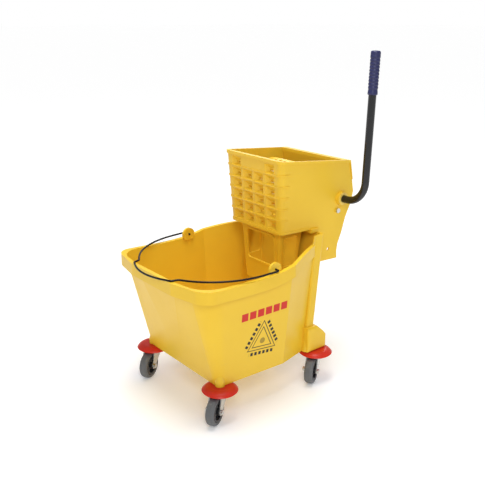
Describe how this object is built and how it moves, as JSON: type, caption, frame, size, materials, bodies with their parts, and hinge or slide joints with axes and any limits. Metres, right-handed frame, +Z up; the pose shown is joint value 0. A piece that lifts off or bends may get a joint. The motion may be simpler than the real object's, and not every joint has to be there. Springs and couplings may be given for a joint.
{
  "type": "mop bucket with side-press wringer",
  "caption": "Wheeled mop bucket with a wire bail and a lift-off wringer whose pulled lever drives a press plate through racks and pinions.",
  "frame": {"origin": "on the floor, midway between the four caster stems", "axes": "+Z up, the bucket's front faces -Y, the wringer stands at the +Y end and its lever is on the +X side"},
  "size_m": [0.4378, 0.6503, 0.9171],
  "materials": {
    "yellow_plastic": "moulded, lightly textured",
    "red_plastic": "moulded",
    "grey_rubber": "matt rubber",
    "black_plastic": "moulded",
    "gear_nylon": "moulded nylon",
    "bushing_plastic": "moulded",
    "black_enamel": "gloss enamel on steel tube",
    "bail_enamel": "semi-gloss enamel on steel wire",
    "blue_grip": "soft vinyl",
    "zinc_steel": "zinc plated"
  },
  "bodies": {
    "bucket": {"bucket_tub": "yellow_plastic", "caster_stem_front_right": "zinc_steel", "bumper_disc_front_right": "red_plastic", "caster_stem_front_left": "zinc_steel", "bumper_disc_front_left": "red_plastic", "caster_stem_rear_right": "zinc_steel", "bumper_disc_rear_right": "red_plastic", "caster_stem_rear_left": "zinc_steel", "bumper_disc_rear_left": "red_plastic"},
    "swivel_front_right": {"caster_fork_front_right": "zinc_steel", "caster_axle_bolt_front_right": "zinc_steel", "caster_axle_nut_front_right": "zinc_steel"},
    "wheel_front_right": {"caster_tyre_front_right": "grey_rubber", "caster_hub_front_right": "black_plastic"},
    "swivel_front_left": {"caster_fork_front_left": "zinc_steel", "caster_axle_bolt_front_left": "zinc_steel", "caster_axle_nut_front_left": "zinc_steel"},
    "wheel_front_left": {"caster_tyre_front_left": "grey_rubber", "caster_hub_front_left": "black_plastic"},
    "swivel_rear_right": {"caster_fork_rear_right": "zinc_steel", "caster_axle_bolt_rear_right": "zinc_steel", "caster_axle_nut_rear_right": "zinc_steel"},
    "wheel_rear_right": {"caster_tyre_rear_right": "grey_rubber", "caster_hub_rear_right": "black_plastic"},
    "swivel_rear_left": {"caster_fork_rear_left": "zinc_steel", "caster_axle_bolt_rear_left": "zinc_steel", "caster_axle_nut_rear_left": "zinc_steel"},
    "wheel_rear_left": {"caster_tyre_rear_left": "grey_rubber", "caster_hub_rear_left": "black_plastic"},
    "bail": {"bail_handle": "bail_enamel"},
    "wringer": {"wringer_housing": "yellow_plastic", "drain_basket": "yellow_plastic", "shaft_bushing_left": "bushing_plastic", "stop_bolt_left": "zinc_steel", "stop_nut_left": "zinc_steel", "shaft_bushing_right": "bushing_plastic", "stop_bolt_right": "zinc_steel", "stop_nut_right": "zinc_steel", "return_springs": "zinc_steel"},
    "press": {"press_plate": "yellow_plastic", "press_rack_left": "gear_nylon", "press_rack_right": "gear_nylon"},
    "lever": {"lever_tube": "black_enamel", "lever_grip": "blue_grip", "shaft_collar": "zinc_steel", "gear_pins": "zinc_steel", "pinion_left": "gear_nylon", "pinion_right": "gear_nylon"}
  },
  "joints": [
    {"name": "swivel_front_right", "type": "hinge", "parent": "bucket", "child": "swivel_front_right", "pos_m": [0.16, -0.172, 0.08], "axis": [0, 0, 1], "continuous": true},
    {"name": "wheel_spin_front_right", "type": "hinge", "parent": "swivel_front_right", "child": "wheel_front_right", "pos_m": [0.17648, -0.20174, 0.038], "axis": [0.8746, 0.4848, 0], "continuous": true},
    {"name": "swivel_front_left", "type": "hinge", "parent": "bucket", "child": "swivel_front_left", "pos_m": [-0.16, -0.172, 0.08], "axis": [0, 0, 1], "continuous": true},
    {"name": "wheel_spin_front_left", "type": "hinge", "parent": "swivel_front_left", "child": "wheel_front_left", "pos_m": [-0.14352, -0.20174, 0.038], "axis": [0.8746, 0.4848, 0], "continuous": true},
    {"name": "swivel_rear_right", "type": "hinge", "parent": "bucket", "child": "swivel_rear_right", "pos_m": [0.16, 0.172, 0.08], "axis": [0, 0, 1], "continuous": true},
    {"name": "wheel_spin_rear_right", "type": "hinge", "parent": "swivel_rear_right", "child": "wheel_rear_right", "pos_m": [0.17648, 0.14226, 0.038], "axis": [0.8746, 0.4848, 0], "continuous": true},
    {"name": "swivel_rear_left", "type": "hinge", "parent": "bucket", "child": "swivel_rear_left", "pos_m": [-0.16, 0.172, 0.08], "axis": [0, 0, 1], "continuous": true},
    {"name": "wheel_spin_rear_left", "type": "hinge", "parent": "swivel_rear_left", "child": "wheel_rear_left", "pos_m": [-0.14352, 0.14226, 0.038], "axis": [0.8746, 0.4848, 0], "continuous": true},
    {"name": "bail_swing", "type": "hinge", "parent": "bucket", "child": "bail", "pos_m": [0, -0.018, 0.388], "axis": [-1, 0, 0], "range_deg": [0, 96]},
    {"name": "wringer_lift_off", "type": "slide", "parent": "bucket", "child": "wringer", "axis": [0, 0, 1], "range_m": [0, 0.24]},
    {"name": "lever_pull", "type": "hinge", "parent": "wringer", "child": "lever", "pos_m": [0, 0.288, 0.511], "axis": [1, 0, 0], "range_deg": [0, 95], "stiffness_Nm_per_rad": 1.6, "springref_deg": -80.21},
    {"name": "press_plate_slide", "type": "slide", "parent": "wringer", "child": "press", "axis": [0, -1, 0], "range_m": [0, 0.0665]}
  ],
  "couplings": [
    {"joint": "press_plate_slide", "follows": "lever_pull", "m_per_rad": 0.04}
  ]
}
